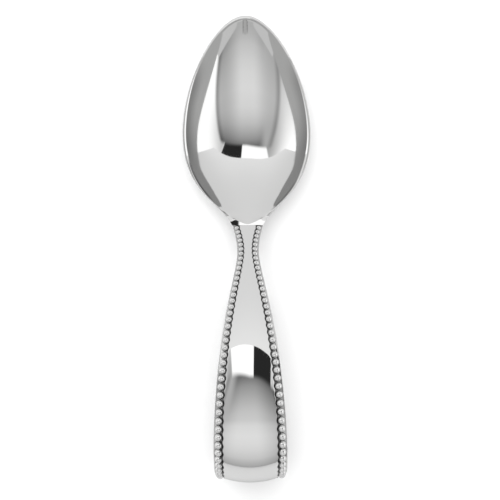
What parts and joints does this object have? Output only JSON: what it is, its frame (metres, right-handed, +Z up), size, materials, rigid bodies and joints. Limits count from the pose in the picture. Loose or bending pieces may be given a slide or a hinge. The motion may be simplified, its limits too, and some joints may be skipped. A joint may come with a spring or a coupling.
{
  "type": "baby spoon",
  "caption": "Silver baby spoon: an oval feeding bowl and a strip handle bent round into a finger loop, with a graduated bead border along its edges.",
  "frame": {"origin": "centre of the overall box on the table that the spoon lies on", "axes": "+Y along the spoon from the handle's loop to the bowl's tip, +X to the right across it, +Z up out of the bowl"},
  "size_m": [0.0276, 0.1, 0.026],
  "materials": {
    "polished_silver": "mirror polished sterling silver",
    "beaded_silver": "polished beads with darkened crevices"
  },
  "bodies": {
    "root": {"bowl": "polished_silver", "handle": "polished_silver", "bead_wire_left": "beaded_silver", "bead_wire_right": "beaded_silver"}
  },
  "joints": []
}
